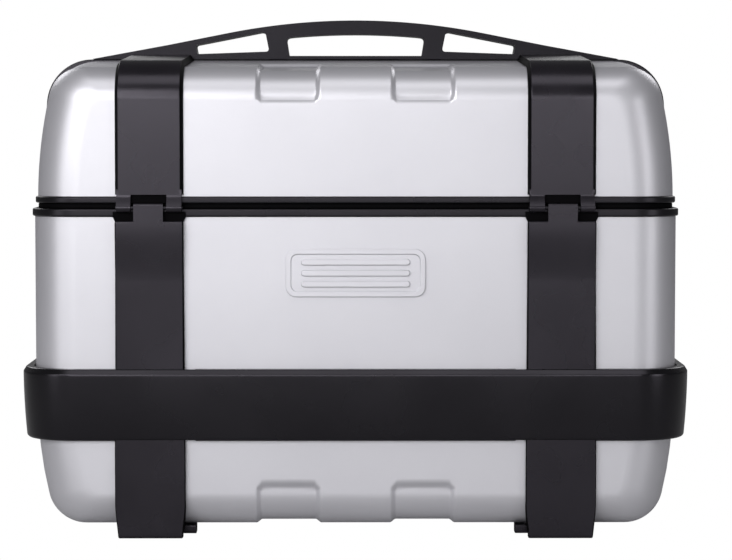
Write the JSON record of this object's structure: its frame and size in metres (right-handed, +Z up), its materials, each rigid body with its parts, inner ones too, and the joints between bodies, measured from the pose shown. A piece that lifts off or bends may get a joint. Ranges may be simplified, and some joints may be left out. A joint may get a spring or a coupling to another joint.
{
  "type": "motorcycle top case",
  "caption": "Upright hard motorcycle case with a silver clamshell front, a top-opening lid, black straps, a bumper band and a carry handle.",
  "frame": {"origin": "on the ground, at the middle of the case's width and depth", "axes": "+X across the case, -Y out of its front, +Y out of its rear mounting face, +Z up"},
  "size_m": [0.5274, 0.237, 0.408],
  "materials": {
    "silver_shell": "satin silver",
    "charcoal_plastic": "fine-grained moulded",
    "black_plastic": "satin moulded",
    "rubber": "matte",
    "steel": "plated",
    "red_plastic": "gloss moulded"
  },
  "bodies": {
    "rear_half": {"rear_shell": "black_plastic", "rear_rim_frame": "black_plastic", "main_seal": "rubber", "carry_handle": "charcoal_plastic", "handle_screw_1": "steel", "handle_screw_2": "steel", "handle_screw_3": "steel", "handle_screw_4": "steel", "lock_housing": "black_plastic", "latch_bracket": "steel", "latch_pin": "steel", "catch_pivot_left": "steel", "catch_pivot_right": "steel", "mounting_plate": "black_plastic", "plate_screw_1": "steel", "plate_screw_2": "steel", "plate_screw_3": "steel", "plate_screw_4": "steel", "rear_foot_left": "charcoal_plastic", "rear_foot_right": "charcoal_plastic", "rear_foot_pad_left": "rubber", "rear_foot_pad_right": "rubber", "rear_hinge_leaf_left": "steel", "rear_hinge_leaf_right": "steel", "clamshell_hinge_pin_left": "steel", "clamshell_hinge_pin_right": "steel"},
    "front_half": {"front_lower_shell": "silver_shell", "lower_edge_bead": "black_plastic", "lid_seal": "rubber", "front_lower_strap_left": "charcoal_plastic", "front_lower_strap_right": "charcoal_plastic", "lid_hinge_pin_left": "steel", "lid_hinge_pin_right": "steel", "front_foot_pad_left": "rubber", "front_foot_pad_right": "rubber", "bumper_band": "black_plastic", "band_spacer_left": "black_plastic", "band_spacer_right": "black_plastic", "band_screw_left": "steel", "band_screw_right": "steel", "front_badge": "silver_shell", "front_hinge_leaf_left": "steel", "front_hinge_leaf_right": "steel", "catch_keeper_left": "steel", "catch_keeper_right": "steel"},
    "lid": {"lid_shell": "silver_shell", "lid_edge_bead": "black_plastic", "lid_strap_left": "charcoal_plastic", "lid_strap_right": "charcoal_plastic", "lid_striker": "steel"},
    "release_lever": {"release_lever": "black_plastic"},
    "latch_hook": {"latch_hook": "steel"},
    "lock_barrel": {"lock_barrel": "steel"},
    "mount_release_button": {"mount_release_button": "red_plastic"},
    "mount_catch": {"mount_catch": "steel"},
    "side_catch_left": {"side_catch_left": "black_plastic"},
    "side_catch_right": {"side_catch_right": "black_plastic"}
  },
  "joints": [
    {"name": "clamshell_open", "type": "hinge", "parent": "rear_half", "child": "front_half", "pos_m": [0, 0.0135, 0.0038], "axis": [1, 0, 0], "range_deg": [0, 90]},
    {"name": "lid_open", "type": "hinge", "parent": "front_half", "child": "lid", "pos_m": [0, -0.1149, 0.2574], "axis": [1, 0, 0], "range_deg": [0, 90]},
    {"name": "release_lever_lift", "type": "hinge", "parent": "rear_half", "child": "release_lever", "pos_m": [0, 0.047, 0.3773], "axis": [1, 0, 0], "range_deg": [0, 40], "stiffness_Nm_per_rad": 0.05, "springref_deg": -17.19},
    {"name": "latch_hook_turn", "type": "hinge", "parent": "rear_half", "child": "latch_hook", "pos_m": [0, 0.03, 0.3521], "axis": [1, 0, 0], "range_deg": [0, 28]},
    {"name": "lock_barrel_turn", "type": "hinge", "parent": "rear_half", "child": "lock_barrel", "pos_m": [0.0275, 0.058, 0.3789], "axis": [0, 0, 1], "range_deg": [0, 90]},
    {"name": "mount_button_press", "type": "slide", "parent": "rear_half", "child": "mount_release_button", "axis": [0, 0, -1], "range_m": [0, 0.003], "stiffness_N_per_m": 400, "springref_m": -0.006},
    {"name": "mount_catch_slide", "type": "slide", "parent": "rear_half", "child": "mount_catch", "axis": [0, 0, -1], "range_m": [0, 0.006]},
    {"name": "side_catch_left_lift", "type": "hinge", "parent": "rear_half", "child": "side_catch_left", "pos_m": [-0.2455, 0.03, 0.228], "axis": [-1, 0, 0], "range_deg": [0, 40]},
    {"name": "side_catch_right_lift", "type": "hinge", "parent": "rear_half", "child": "side_catch_right", "pos_m": [0.2455, 0.03, 0.228], "axis": [-1, 0, 0], "range_deg": [0, 40]}
  ],
  "couplings": [
    {"joint": "latch_hook_turn", "follows": "release_lever_lift", "ratio": 0.7},
    {"joint": "mount_catch_slide", "follows": "mount_button_press", "ratio": 2}
  ]
}
